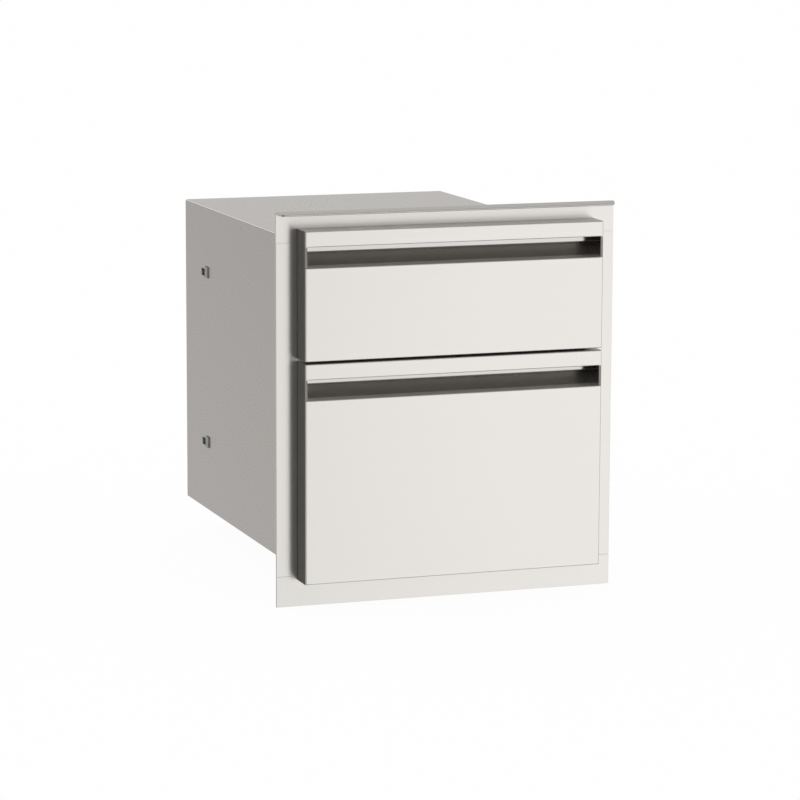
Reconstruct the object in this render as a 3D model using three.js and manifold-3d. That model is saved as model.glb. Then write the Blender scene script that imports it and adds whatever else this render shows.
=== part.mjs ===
// Built-in outdoor kitchen drawer unit: a sheet-steel housing behind a face frame with a drip lip,
// a shallow drawer above a deep one, each on a pair of telescopic ball-bearing slides.
// Millimetres, +Z up, the fronts facing -Y, X to the right. The origin is on the back of the face
// frame, where it seats on the island, halfway across and midway up the strip below the housing.

import * as THREE from 'three';
import { mergeVertices } from 'three/addons/utils/BufferGeometryUtils.js';
import Module from 'manifold-3d';

const wasm = await Module();
wasm.setup();

// Face frame
const faceWidth = 406.4;
const faceHeight = 450;
const frameThickness = 3;
const railHeight = 35;
const stileWidth = 31.7;
const returnDepth = 20;
const returnSheet = 1.5;
const lipReach = 10.5;
const lipDrop = 2.4;
const lipSheet = 2.1;
const lipCornerRadius = 9;

// Housing behind the frame
const housingSheet = 1.2;
const housingBend = 1.4;
const housingFlange = 15;
const spaceBehindSlides = 23;

// Drawer fronts
const frontSideMargin = 24.7;
const frontBottomMargin = 30.5;
const frontTopMargin = 19.4;
const bottomFrontHeight = 251.1;
const frontGap = 2.7;
const frontThickness = 29;
const frontStandoff = 1.2;
const frontSheet = 1;
const frontBend = 0.2;

// Finger pull in each front
const bandHeight = 17.8;
const pullOpening = 23.8;
const pullPost = 2.8;
const pullWallDrop = 8.1;
const pullBend = 1.2;
const pullTopFlange = 10;
const bandHem = 7;
const lowerLip = 6;
const lipOverlap = 3;

// Drawer boxes
const boxSheet = 1.2;
const boxHemHeight = 9;
const boxPastSlide = 1.8;
const bottomBoxAboveFloor = 6.8;
const topBoxRise = 12;
const bottomBoxDrop = 32.1;
const topBoxDrop = 36.3;
const boxBackDrop = 6;

// Telescopic slides, one on each side of each drawer
const slideLength = 450;
const slideSetback = 12;
const slideThickness = 12.7;
const slideHeight = 45;
const slideSheet = 1.2;
const slideBend = 0.8;
const slideCentreShare = 0.376;
const drawerMemberShortfall = 16;
const flangeSetback = 2.3;
const travelShortfall = 10;

// Ball cages between the slide members
const ballRadius = 1.4;
const ballsPerRow = 4;
const ballSides = 6;
const ballRings = 4;
const cageSheet = 0.5;
const cageClearance = 0.35;
const cageEndMargin = 8;
const cageEndClearance = 24;
const cageRearClearance = 5;

// Hooks on the cabinet members and the slots that take them
const hookLength = 11.5;
const hookHeight = 13.7;
const hookSheet = 1.2;
const hookOverhang = 0.8;
const hookBeforeSlideEnd = 77.6;
const slotLowHeight = 9;
const slotLowLength = 18;

// Fasteners and pads
const screwRadius = 2;
const screwHeadRadius = 4;
const screwHeadHeight = 2;
const screwSides = 12;
const frontScrewSetback = 40;
const rearScrewInset = 34;
const rivetSetback = 14;
const rivetHeadClearance = 0.4;
const padRadius = 3;
const padInset = 3.5;
const padBelowTop = 26;

// Shared small sizes
const clearance = 0.3;
const overrun = 5;
const overlap = 0.5;
const bendSteps = 4;

// Levels and planes worked out from the sizes above
const seatHeight = railHeight / 2;
const openingBottom = railHeight + returnSheet;
const openingTop = faceHeight - openingBottom;
const frontBackY = -frameThickness - frontStandoff;
const frontFaceY = frontBackY - frontThickness;
const frontHalf = faceWidth / 2 - frontSideMargin;
const pullDepth = frontThickness - 2 * frontSheet - clearance;
const pullSlope = Math.atan((pullOpening - pullWallDrop) / pullDepth);

// Widths inside the frame, from the housing in to the drawer boxes
const housingHalf = faceWidth / 2 - stileWidth - returnSheet;
const innerHalf = housingHalf - housingSheet;
const boxHalf = innerHalf - slideThickness;

// Depths and gaps that follow the slides
const slideEnd = slideSetback + slideLength;
const housingDepth = slideEnd + spaceBehindSlides;
const drawerMemberLength = slideLength - drawerMemberShortfall;
const drawerTravel = slideLength - travelShortfall;
const boxBackY = slideSetback + drawerMemberLength + boxPastSlide;
const hookStart = slideEnd - hookBeforeSlideEnd;
const slotTallHeight = hookHeight - hookOverhang + 2 * clearance;
const webGap = cageSheet + 2 * cageClearance;
const raceGap = 2 * (ballRadius + clearance);
const cageStart = slideSetback + drawerTravel / 4 + cageEndClearance;
const cageLength = drawerMemberLength - drawerTravel / 2 - cageEndClearance - cageRearClearance;
const screwPlaces = [
  { end: 'front', y: slideSetback + frontScrewSetback },
  { end: 'rear', y: slideSetback + drawerMemberLength - rearScrewInset },
];
const rivetHeadHeight = webGap - rivetHeadClearance;
const padThickness = frontStandoff - clearance;

// The two drawers: each front's and box's bottom and top, and the height of the slides' middle
const bottomFrontTop = frontBottomMargin + bottomFrontHeight;
const drawers = [
  {
    name: 'bottom',
    low: frontBottomMargin,
    top: bottomFrontTop,
    boxLow: openingBottom + housingSheet + bottomBoxAboveFloor,
    boxTop: bottomFrontTop - bottomBoxDrop,
  },
  {
    name: 'top',
    low: bottomFrontTop + frontGap,
    top: faceHeight - frontTopMargin,
    boxLow: bottomFrontTop + frontGap + topBoxRise,
    boxTop: faceHeight - frontTopMargin - topBoxDrop,
  },
];
for (const drawer of drawers) {
  drawer.slideZ = drawer.boxLow + slideCentreShare * (drawer.boxTop - drawer.boxLow);
}

const sides = [
  { name: 'left', sign: -1 },
  { name: 'right', sign: 1 },
];

// Finishes
const steelFace = new THREE.MeshStandardMaterial({ color: 0xdedad6, roughness: 0.3, metalness: 1 });
const steelHousing = new THREE.MeshStandardMaterial({ color: 0xb4b0ac, roughness: 0.45, metalness: 1 });
const steelBox = new THREE.MeshStandardMaterial({ color: 0xc4c1bd, roughness: 0.4, metalness: 1 });
const zincSlide = new THREE.MeshStandardMaterial({ color: 0x99a2a6, roughness: 0.35, metalness: 1 });
const brightSteel = new THREE.MeshStandardMaterial({ color: 0xcfd1d2, roughness: 0.2, metalness: 1 });
const blackRubber = new THREE.MeshStandardMaterial({ color: 0x1c1c1c, roughness: 0.8, metalness: 0 });

const unit = new THREE.Group();
unit.position.set(0, 0, -seatHeight);

// Solids
function solid(geometry) {
  const bare = geometry.clone();
  bare.deleteAttribute('normal');
  bare.deleteAttribute('uv');
  const merged = mergeVertices(bare);
  return new wasm.Manifold(new wasm.Mesh({
    numProp: 3,
    vertProperties: merged.attributes.position.array,
    triVerts: Uint32Array.from(merged.index.array),
  }));
}

function addPiece(name, shape, material) {
  const result = shape.getMesh();
  const geometry = new THREE.BufferGeometry();
  geometry.setAttribute('position', new THREE.BufferAttribute(result.vertProperties, 3));
  geometry.setIndex(new THREE.BufferAttribute(result.triVerts, 1));
  geometry.computeVertexNormals();
  const mesh = new THREE.Mesh(geometry, material);
  mesh.name = name;
  unit.add(mesh);
}

// An outline drawn as pairs is carried along X, Y or Z between two stations.
const alongX = new THREE.Matrix4().makeBasis(
  new THREE.Vector3(0, 1, 0), new THREE.Vector3(0, 0, 1), new THREE.Vector3(1, 0, 0));
const alongY = new THREE.Matrix4().makeBasis(
  new THREE.Vector3(1, 0, 0), new THREE.Vector3(0, 0, 1), new THREE.Vector3(0, -1, 0));
const alongZ = new THREE.Matrix4();

function carry(outline, turn, from, to) {
  const shape = new THREE.Shape(outline.map(([a, b]) => new THREE.Vector2(a, b)));
  const geometry = new THREE.ExtrudeGeometry(shape, { depth: to - from, bevelEnabled: false, steps: 1 });
  geometry.applyMatrix4(turn);
  if (turn === alongX) geometry.translate(from, 0, 0);
  if (turn === alongY) geometry.translate(0, to, 0);
  if (turn === alongZ) geometry.translate(0, 0, from);
  return solid(geometry);
}

function block(x0, x1, y0, y1, z0, z1) {
  const geometry = new THREE.BoxGeometry(x1 - x0, y1 - y0, z1 - z0);
  geometry.translate((x0 + x1) / 2, (y0 + y1) / 2, (z0 + z1) / 2);
  return solid(geometry);
}

function rodAlongX(x0, x1, y, z, radius, count) {
  const geometry = new THREE.CylinderGeometry(radius, radius, x1 - x0, count);
  geometry.rotateZ(Math.PI / 2);
  geometry.translate((x0 + x1) / 2, y, z);
  return solid(geometry);
}

// Two distances from the middle plane as X values on one side of it, the lower one first
function across(sign, near, far) {
  return [sign * near, sign * far].sort((a, b) => a - b);
}

// The outline of a folded sheet. The path follows one surface and the sheet lies on its left.
function foldedSheet(path, thickness, insideRadius) {
  const near = [path[0]];
  const far = [];
  const leftOf = (a, b) => {
    const length = Math.hypot(b[0] - a[0], b[1] - a[1]);
    return [-(b[1] - a[1]) / length, (b[0] - a[0]) / length];
  };
  const first = leftOf(path[0], path[1]);
  far.push([path[0][0] + first[0] * thickness, path[0][1] + first[1] * thickness]);
  for (let i = 1; i < path.length - 1; i += 1) {
    const before = leftOf(path[i - 1], path[i]);
    const after = leftOf(path[i], path[i + 1]);
    const turn = Math.atan2(before[0] * after[1] - before[1] * after[0],
      before[0] * after[0] + before[1] * after[1]);
    const side = Math.sign(turn);
    const nearRadius = side > 0 ? insideRadius + thickness : insideRadius;
    const farRadius = nearRadius - side * thickness;
    const reach = nearRadius / Math.cos(turn / 2);
    const middle = [before[0] + after[0], before[1] + after[1]];
    const length = Math.hypot(middle[0], middle[1]);
    const centre = [
      path[i][0] + side * reach * middle[0] / length,
      path[i][1] + side * reach * middle[1] / length,
    ];
    const start = Math.atan2(-side * before[1], -side * before[0]);
    for (let step = 0; step <= bendSteps; step += 1) {
      const angle = start + turn * step / bendSteps;
      near.push([centre[0] + nearRadius * Math.cos(angle), centre[1] + nearRadius * Math.sin(angle)]);
      far.push([centre[0] + farRadius * Math.cos(angle), centre[1] + farRadius * Math.sin(angle)]);
    }
  }
  const end = path.length - 1;
  const last = leftOf(path[end - 1], path[end]);
  near.push(path[end]);
  far.push([path[end][0] + last[0] * thickness, path[end][1] + last[1] * thickness]);
  return [...near, ...far.reverse()];
}

// A rectangle in two of the axes, with its two corners at the low end of the first axis rounded.
function roundedFace(low, high, from, to, radius) {
  const points = [[high, from], [high, to]];
  for (const [centre, start] of [[to - radius, Math.PI / 2], [from + radius, Math.PI]]) {
    for (let step = 0; step <= bendSteps; step += 1) {
      const angle = start + Math.PI / 2 * step / bendSteps;
      points.push([low + radius + radius * Math.cos(angle), centre + radius * Math.sin(angle)]);
    }
  }
  return points;
}

// Face frame: two rails across the full width and two stiles between them, each with a sheet turned
// in along the opening, inside which the housing is welded
function makeFrame() {
  const half = faceWidth / 2;
  const noseY = -frameThickness - lipReach;
  const stileHalf = housingHalf + returnSheet;
  const lip = carry([
    [-frameThickness, faceHeight],
    [noseY + lipSheet / 2, faceHeight - lipDrop],
    [noseY, faceHeight - lipDrop - lipSheet / 2],
    [noseY + lipSheet / 2, faceHeight - lipDrop - lipSheet],
    [-frameThickness, faceHeight - lipSheet],
    [0, faceHeight - lipSheet],
    [0, faceHeight],
  ], alongX, -half, half);
  const strip = block(-half, half, -frameThickness, 0, faceHeight - railHeight, faceHeight);
  const turnedIn = block(-housingHalf, housingHalf, -frameThickness, returnDepth,
    openingTop, openingTop + returnSheet);
  let rail = lip.add(strip).add(turnedIn);
  for (const { sign } of sides) {
    const centreX = half - lipCornerRadius;
    const centreY = noseY + lipCornerRadius;
    const corner = [[half + overrun, noseY - overrun], [half + overrun, centreY]];
    for (let step = 0; step <= bendSteps; step += 1) {
      const angle = -Math.PI / 2 * step / bendSteps;
      corner.push([centreX + lipCornerRadius * Math.cos(angle), centreY + lipCornerRadius * Math.sin(angle)]);
    }
    corner.push([centreX, noseY - overrun]);
    const mirrored = corner.map(([x, y]) => [sign * x, y]);
    rail = rail.subtract(carry(mirrored, alongZ, faceHeight - lipDrop - lipSheet - overrun, faceHeight + overrun));
  }
  addPiece('top_rail', rail, steelFace);

  const low = block(-half, half, -frameThickness, 0, 0, railHeight);
  const lowTurnedIn = block(-housingHalf, housingHalf, -frameThickness, returnDepth,
    railHeight, openingBottom);
  addPiece('bottom_rail', low.add(lowTurnedIn), steelFace);

  for (const { name, sign } of sides) {
    const outline = [
      [sign * housingHalf, -frameThickness],
      [sign * half, -frameThickness],
      [sign * half, 0],
      [sign * stileHalf, 0],
      [sign * stileHalf, returnDepth],
      [sign * housingHalf, returnDepth],
    ];
    addPiece(`${name}_stile`, carry(outline, alongZ, railHeight, faceHeight - railHeight), steelFace);
  }
}

// Hook slot, tall where the hook goes in and low behind it
function hookSlot(sign, slideZ) {
  const [x0, x1] = across(sign, innerHalf - overrun, housingHalf + overrun);
  const bottom = slideZ + hookOverhang - hookHeight / 2;
  const behind = hookStart + hookLength;
  const tall = block(x0, x1, hookStart - clearance, behind, bottom, bottom + slotTallHeight);
  const low = block(x0, x1, behind - clearance, behind + slotLowLength, bottom, bottom + slotLowHeight);
  return tall.add(low);
}

// Housing: one sheet folded over both sides and the top, with a floor and a back let into it
function makeHousing() {
  const wrapOutline = foldedSheet([
    [housingHalf, openingBottom],
    [housingHalf, openingTop],
    [-housingHalf, openingTop],
    [-housingHalf, openingBottom],
  ], housingSheet, housingBend);
  let wrap = carry(wrapOutline, alongY, 0, housingDepth);
  for (const { slideZ } of drawers) {
    for (const { sign } of sides) {
      const [x0, x1] = across(sign, innerHalf - overrun, housingHalf + overrun);
      const y = slideSetback + rivetSetback;
      wrap = wrap.subtract(hookSlot(sign, slideZ));
      wrap = wrap.subtract(rodAlongX(x0, x1, y, slideZ, screwRadius + clearance, screwSides));
    }
  }
  addPiece('housing_wrap', wrap, steelHousing);

  const floorOutline = foldedSheet([
    [-innerHalf, openingBottom + housingFlange],
    [-innerHalf, openingBottom],
    [innerHalf, openingBottom],
    [innerHalf, openingBottom + housingFlange],
  ], housingSheet, housingBend);
  addPiece('housing_floor', carry(floorOutline, alongY, 0, housingDepth - housingSheet), steelHousing);

  const backOutline = foldedSheet([
    [innerHalf, housingDepth - housingFlange],
    [innerHalf, housingDepth],
    [-innerHalf, housingDepth],
    [-innerHalf, housingDepth - housingFlange],
  ], housingSheet, housingBend);
  let back = carry(backOutline, alongZ, openingBottom, openingTop - housingSheet);
  back = back.subtract(block(-innerHalf - overrun, innerHalf + overrun,
    housingDepth - housingFlange - overrun, housingDepth - housingSheet,
    openingBottom - overrun, openingBottom + housingFlange + clearance));
  const insideWrap = roundedFace(-openingTop + housingSheet, -openingBottom, -innerHalf, innerHalf, 2 * housingBend)
    .map(([z, x]) => [x, -z]);
  back = back.intersect(carry(insideWrap, alongY, 0, housingDepth));
  addPiece('housing_back', back, steelHousing);
}

// Drawer front: a folded steel pan with the pull opening cut through it below the top band, right
// out to the cut edges of its side walls
function makeFront({ name, low, top }) {
  const half = frontHalf;
  const outerRadius = frontBend + frontSheet;
  const bandBottom = top - bandHeight;
  const lowerTop = bandBottom - pullOpening;
  const inner = half - frontSheet;

  const outerPlan = roundedFace(frontFaceY, frontBackY, -half, half, outerRadius).map(([y, x]) => [x, y]);
  const outerSide = roundedFace(frontFaceY, frontBackY, low, top, outerRadius);
  const innerPlan = roundedFace(frontFaceY + frontSheet, frontBackY + overrun, -inner, inner, frontBend)
    .map(([y, x]) => [x, y]);
  const innerSide = roundedFace(frontFaceY + frontSheet, frontBackY + overrun,
    low + frontSheet, top - frontSheet, frontBend);
  const outer = carry(outerPlan, alongZ, low, top).intersect(carry(outerSide, alongX, -half, half));
  const hollow = carry(innerPlan, alongZ, low, top).intersect(carry(innerSide, alongX, -half, half));
  const windowHalf = half - pullPost;
  const windowCut = block(-windowHalf, windowHalf, frontFaceY - overrun, frontFaceY + outerRadius,
    lowerTop - lipOverlap, bandBottom + lipOverlap);
  const edgeCut = block(-half - overrun, half + overrun, frontFaceY - overrun, frontFaceY + outerRadius,
    lowerTop, bandBottom);

  const hemOutline = foldedSheet([
    [frontFaceY, bandBottom + lipOverlap + frontSheet],
    [frontFaceY, bandBottom],
    [frontFaceY + bandHem, bandBottom],
  ], frontSheet, frontBend);
  const lipOutline = foldedSheet([
    [frontFaceY + lowerLip * Math.cos(pullSlope), lowerTop + lowerLip * Math.sin(pullSlope)],
    [frontFaceY, lowerTop],
    [frontFaceY, lowerTop - lipOverlap - frontSheet],
  ], frontSheet, frontBend);
  const skin = outer.subtract(hollow).subtract(windowCut).subtract(edgeCut)
    .add(carry(hemOutline, alongX, -windowHalf, windowHalf))
    .add(carry(lipOutline, alongX, -windowHalf, windowHalf));
  addPiece(`${name}_front_skin`, skin, steelFace);

  // The pull: a wall down behind the band, a floor sloping forward under the lip, and an end plate each side
  const wallY = frontFaceY + pullDepth;
  const cornerZ = bandBottom - pullWallDrop;
  const lipEndY = frontFaceY + lowerLip * Math.cos(pullSlope);
  const underLipZ = lowerTop + lowerLip * Math.sin(pullSlope) - (frontSheet + clearance) / Math.cos(pullSlope);
  const footY = frontFaceY + outerRadius;
  const footZ = underLipZ - (lipEndY - footY) * (cornerZ - underLipZ) / (wallY - lipEndY);
  const ceiling = top - frontSheet;
  const middle = frontSheet / 2;
  let pull = carry(foldedSheet([
    [wallY - pullTopFlange, ceiling - frontSheet],
    [wallY, ceiling - frontSheet],
    [wallY, cornerZ],
    [footY, footZ],
  ], frontSheet, pullBend), alongX, -inner, inner);
  const endPlate = [
    [footY, ceiling],
    [wallY + middle, ceiling],
    [wallY + middle, cornerZ - middle],
    [footY + middle, footZ - middle],
    [footY, footZ],
  ];
  for (const { sign } of sides) {
    const [x0, x1] = across(sign, windowHalf, inner);
    pull = pull.add(carry(endPlate, alongX, x0, x1));
  }
  addPiece(`${name}_finger_pull`, pull, steelFace);

  addPiece(`${name}_inner_front`, block(-inner, inner, frontBackY - frontSheet, frontBackY,
    low + frontSheet, top - frontSheet), steelBox);
}

// Drawer box: a floor, two side walls with hemmed tops and a back wall, welded to the inner front
function makeBox({ name, boxLow, boxTop, slideZ }) {
  const inner = boxHalf - boxSheet;
  addPiece(`${name}_box_floor`, block(-inner, inner, frontBackY, boxBackY, boxLow, boxLow + boxSheet), steelBox);
  addPiece(`${name}_box_back_wall`, block(-inner, inner, boxBackY - boxSheet, boxBackY,
    boxLow + boxSheet, boxTop - boxBackDrop), steelBox);
  for (const side of sides) {
    const { sign } = side;
    const hemFace = inner - boxSheet;
    let wall = carry([
      [sign * boxHalf, boxLow],
      [sign * boxHalf, boxTop],
      [sign * hemFace, boxTop],
      [sign * hemFace, boxTop - boxHemHeight],
      [sign * inner, boxTop - boxHemHeight],
      [sign * inner, boxLow],
    ], alongY, frontBackY, boxBackY);
    const [behind0, behind1] = across(sign, hemFace - overrun, inner);
    wall = wall.subtract(block(behind0, behind1, boxBackY - boxSheet, boxBackY + overrun, boxLow, boxTop + overrun));
    for (const { end, y } of screwPlaces) {
      const [x0, x1] = across(sign, inner - overrun, boxHalf + overrun);
      wall = wall.subtract(rodAlongX(x0, x1, y, slideZ, screwRadius + clearance, screwSides));
      const [shank0, shank1] = across(sign, inner - overlap, boxHalf + slideSheet);
      const [head0, head1] = across(sign, inner, inner - screwHeadHeight);
      const screw = rodAlongX(shank0, shank1, y, slideZ, screwRadius, screwSides)
        .add(rodAlongX(head0, head1, y, slideZ, screwHeadRadius, screwSides));
      addPiece(`${name}_${side.name}_drawer_screw_${end}`, screw, brightSteel);
    }
    addPiece(`${name}_box_${side.name}_wall`, wall, steelBox);
  }
}

// A slide member's outline, from the distance in from the housing wall and the height from its middle
function placeOutline(outline, sign, slideZ) {
  return outline.map(([u, w]) => [sign * (innerHalf - u), slideZ + w]);
}

// Slide: cabinet member on the housing with a hook lanced out of its web, intermediate member, drawer
// member on the box, two ball cages
function makeSlide({ name, slideZ }, side) {
  const { sign } = side;
  const prefix = `${name}_${side.name}`;
  const cabinetHalf = slideHeight / 2;
  const middleHalf = cabinetHalf - slideSheet - raceGap;
  const drawerHalf = middleHalf - slideSheet - raceGap;
  const middleWeb = slideSheet + webGap;
  const flangeTip = slideThickness - flangeSetback;
  const drawerFlangeTip = middleWeb + slideSheet + webGap;

  const cabinetOutline = foldedSheet([
    [flangeTip, -cabinetHalf], [0, -cabinetHalf], [0, cabinetHalf], [flangeTip, cabinetHalf],
  ].reverse(), slideSheet, slideBend);
  let cabinet = carry(placeOutline(cabinetOutline, sign, slideZ), alongY, slideSetback, slideEnd);
  const slotBottom = slideZ + hookOverhang - hookHeight / 2;
  const [tongue0, tongue1] = across(sign, innerHalf - slideSheet / 2, housingHalf + clearance + hookSheet / 2);
  const [plate0, plate1] = across(sign, housingHalf + clearance, housingHalf + clearance + hookSheet);
  const hookEnd = hookStart + hookLength - clearance;
  const hookTop = slotBottom + hookHeight - hookOverhang;
  cabinet = cabinet
    .add(block(tongue0, tongue1, hookStart, hookEnd, slotBottom + clearance, hookTop))
    .add(block(plate0, plate1, hookStart, hookEnd, slotBottom - hookOverhang, hookTop));
  const [through0, through1] = across(sign, innerHalf - slideSheet - overrun, innerHalf + overrun);
  cabinet = cabinet
    .subtract(rodAlongX(through0, through1, slideSetback + rivetSetback, slideZ, screwRadius + clearance, screwSides))
    .subtract(block(through0, through1, hookStart + hookLength, hookStart + hookLength + slotLowLength,
      slotBottom, slotBottom + slotLowHeight));
  addPiece(`${prefix}_cabinet_member`, cabinet, zincSlide);

  const middleOutline = foldedSheet([
    [flangeTip, middleHalf], [middleWeb, middleHalf], [middleWeb, -middleHalf], [flangeTip, -middleHalf],
  ], slideSheet, slideBend);
  addPiece(`${prefix}_intermediate_member`,
    carry(placeOutline(middleOutline, sign, slideZ), alongY, slideSetback, slideEnd), zincSlide);

  const drawerOutline = foldedSheet([
    [drawerFlangeTip, -drawerHalf],
    [slideThickness, -drawerHalf],
    [slideThickness, drawerHalf],
    [drawerFlangeTip, drawerHalf],
  ], slideSheet, slideBend);
  let member = carry(placeOutline(drawerOutline, sign, slideZ), alongY,
    slideSetback, slideSetback + drawerMemberLength);
  for (const { y } of screwPlaces) {
    const [x0, x1] = across(sign, boxHalf - overrun, boxHalf + slideSheet + overrun);
    member = member.subtract(rodAlongX(x0, x1, y, slideZ, screwRadius + clearance, screwSides));
  }
  addPiece(`${prefix}_drawer_member`, member, zincSlide);

  const ballU = (middleWeb + slideSheet + flangeTip) / 2;
  for (const cage of [
    { name: 'outer', web: slideSheet + (webGap - cageSheet) / 2, half: middleHalf + raceGap / 2 },
    { name: 'inner', web: middleWeb + slideSheet + (webGap - cageSheet) / 2, half: drawerHalf + raceGap / 2 },
  ]) {
    const edge = cage.half + cageSheet / 2;
    const outline = foldedSheet([
      [flangeTip, edge], [cage.web, edge], [cage.web, -edge], [flangeTip, -edge],
    ], cageSheet, cageSheet);
    let strip = carry(placeOutline(outline, sign, slideZ), alongY, cageStart, cageStart + cageLength);
    for (let row = -1; row <= 1; row += 2) {
      for (let i = 0; i < ballsPerRow; i += 1) {
        const y = cageStart + cageEndMargin + (cageLength - 2 * cageEndMargin) * i / (ballsPerRow - 1);
        const x = sign * (innerHalf - ballU);
        const z = slideZ + row * cage.half;
        const ball = new THREE.SphereGeometry(ballRadius, ballSides, ballRings);
        ball.translate(x, y, z);
        strip = strip.add(solid(ball));
      }
    }
    addPiece(`${prefix}_${cage.name}_ball_cage`, strip, brightSteel);
  }
}

// Rivet that holds each cabinet member's front end to the housing, its flat head inside the slide
function makeRivet({ name, slideZ }, side) {
  const y = slideSetback + rivetSetback;
  const [shank0, shank1] = across(side.sign, innerHalf - slideSheet - rivetHeadHeight / 2,
    housingHalf + rivetHeadHeight / 2);
  const [inside0, inside1] = across(side.sign, innerHalf - slideSheet - rivetHeadHeight, innerHalf - slideSheet);
  const [outside0, outside1] = across(side.sign, housingHalf, housingHalf + rivetHeadHeight);
  const rivet = rodAlongX(shank0, shank1, y, slideZ, screwRadius, screwSides)
    .add(rodAlongX(inside0, inside1, y, slideZ, screwHeadRadius, screwSides))
    .add(rodAlongX(outside0, outside1, y, slideZ, screwHeadRadius, screwSides));
  addPiece(`${name}_${side.name}_cabinet_rivet`, rivet, brightSteel);
}

// Rubber pad stuck on the frame behind each upper corner of a front
function makePad({ name, top }, side) {
  const x = side.sign * (frontHalf - padInset);
  const z = top - padBelowTop;
  const geometry
 = new THREE.CylinderGeometry(padRadius, padRadius, padThickness, screwSides);
  geometry.translate(x, -frameThickness - padThickness / 2, z);
  addPiece(`${name}_${side.name}_bumper_pad`, solid(geometry), blackRubber);
}

makeFrame();
makeHousing();
for (const drawer of drawers) {
  makeFront(drawer);
  makeBox(drawer);
  for (const side of sides) {
    makeSlide(drawer, side);
    makeRivet(drawer, side);
    makePad(drawer, side);
  }
}

export default unit;
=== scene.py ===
# Built-in outdoor kitchen drawer unit in stainless steel: a face frame with a drip lip, a folded
# housing behind it, and a shallow drawer above a deep one on ball-bearing slides. Outlines are in
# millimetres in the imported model's own frame, and become metres when a piece is made.

import math

import bmesh
import bpy
from mathutils import Matrix, Vector


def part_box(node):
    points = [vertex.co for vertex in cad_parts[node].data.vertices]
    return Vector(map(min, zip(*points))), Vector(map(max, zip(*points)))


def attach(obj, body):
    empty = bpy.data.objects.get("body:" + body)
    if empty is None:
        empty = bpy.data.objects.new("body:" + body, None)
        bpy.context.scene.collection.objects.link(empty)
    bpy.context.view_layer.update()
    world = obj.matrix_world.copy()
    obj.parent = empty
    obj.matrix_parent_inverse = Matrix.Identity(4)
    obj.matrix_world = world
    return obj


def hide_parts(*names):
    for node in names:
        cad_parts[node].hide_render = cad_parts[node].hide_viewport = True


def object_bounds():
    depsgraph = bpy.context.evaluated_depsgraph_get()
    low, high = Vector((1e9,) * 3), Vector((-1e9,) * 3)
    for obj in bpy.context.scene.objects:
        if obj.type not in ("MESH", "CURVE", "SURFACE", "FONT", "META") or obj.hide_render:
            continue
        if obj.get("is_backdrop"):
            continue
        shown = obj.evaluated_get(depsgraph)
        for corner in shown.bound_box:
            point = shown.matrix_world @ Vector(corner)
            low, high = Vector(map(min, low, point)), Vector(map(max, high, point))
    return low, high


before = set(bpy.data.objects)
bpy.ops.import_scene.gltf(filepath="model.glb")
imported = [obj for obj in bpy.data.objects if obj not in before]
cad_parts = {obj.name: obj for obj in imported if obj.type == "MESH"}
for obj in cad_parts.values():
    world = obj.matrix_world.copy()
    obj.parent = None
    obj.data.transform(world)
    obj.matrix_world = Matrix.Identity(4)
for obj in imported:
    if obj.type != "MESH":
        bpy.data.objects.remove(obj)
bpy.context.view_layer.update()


# Face frame. Two rails run across the full width with two stiles butt-welded between them, all from
# stainless plate brushed across its width. The top edge is drawn forward into a drip lip with
# rounded corners, and a thinner sheet turns in all round the opening to carry the housing.
MM = 0.001
hands = {"left": -1, "right": 1}
sill = 1000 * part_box("bottom_rail")[0].z
rail_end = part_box("top_rail")[1]
face_half, return_back, crown = 1000 * rail_end.x, 1000 * rail_end.y, 1000 * rail_end.z
plate = 3.0
return_sheet = 1.5
rail_height = 35.0
opening_half = 170.0
rail_corner = 0.5
lip_nose = -13.5
lip_drop = 2.4
lip_sheet = 2.1
lip_corner = 9.0
lip_root = 1.2
lip_fillet = 1.0
plate_ease = 0.22


def arc(centre, radius, start, end, steps=10):
    """Points along an arc, with its angles in degrees."""
    turns = [math.radians(start + (end - start) * i / steps) for i in range(steps + 1)]
    return [(centre[0] + radius * math.cos(t), centre[1] + radius * math.sin(t)) for t in turns]


def placed(name, shape):
    """Turns a bmesh into a piece of the scene."""
    mesh = bpy.data.meshes.new(name)
    shape.to_mesh(mesh)
    shape.free()
    piece = bpy.data.objects.new(name, mesh)
    bpy.context.scene.collection.objects.link(piece)
    return piece


def drawn(name, outline, axis, start, end):
    """A closed piece whose outline is drawn out along one axis."""
    shape = bmesh.new()
    order = {"X": lambda a, b, c: (c, a, b),
             "Y": lambda a, b, c: (a, c, b),
             "Z": lambda a, b, c: (a, b, c)}
    near = [shape.verts.new(MM * Vector(order[axis](a, b, start))) for a, b in outline]
    far = [shape.verts.new(MM * Vector(order[axis](a, b, end))) for a, b in outline]
    shape.faces.new(near)
    shape.faces.new(far[::-1])
    for i in range(len(outline)):
        shape.faces.new((near[i - 1], near[i], far[i], far[i - 1]))
    bmesh.ops.recalc_face_normals(shape, faces=shape.faces)
    return placed(name, shape)


def block(x0, x1, y0, y1, z0, z1):
    """A square-cornered piece between two places on each axis."""
    return drawn("block", [(x0, y0), (x1, y0), (x1, y1), (x0, y1)], "Z", z0, z1)


def worked(piece, tools, operation):
    """Cuts the tools out of a piece, joins them to it or keeps what they share, and uses them up."""
    for tool in tools:
        step = piece.modifiers.new("work", "BOOLEAN")
        step.operation = operation
        step.solver = "EXACT"
        step.object = tool
    graph = bpy.context.evaluated_depsgraph_get()
    mesh = bpy.data.meshes.new_from_object(piece.evaluated_get(graph))
    piece.modifiers.clear()
    bare = piece.data
    piece.data = mesh
    mesh.name = piece.name
    bpy.data.meshes.remove(bare)
    for tool in tools:
        bpy.data.meshes.remove(tool.data)


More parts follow.
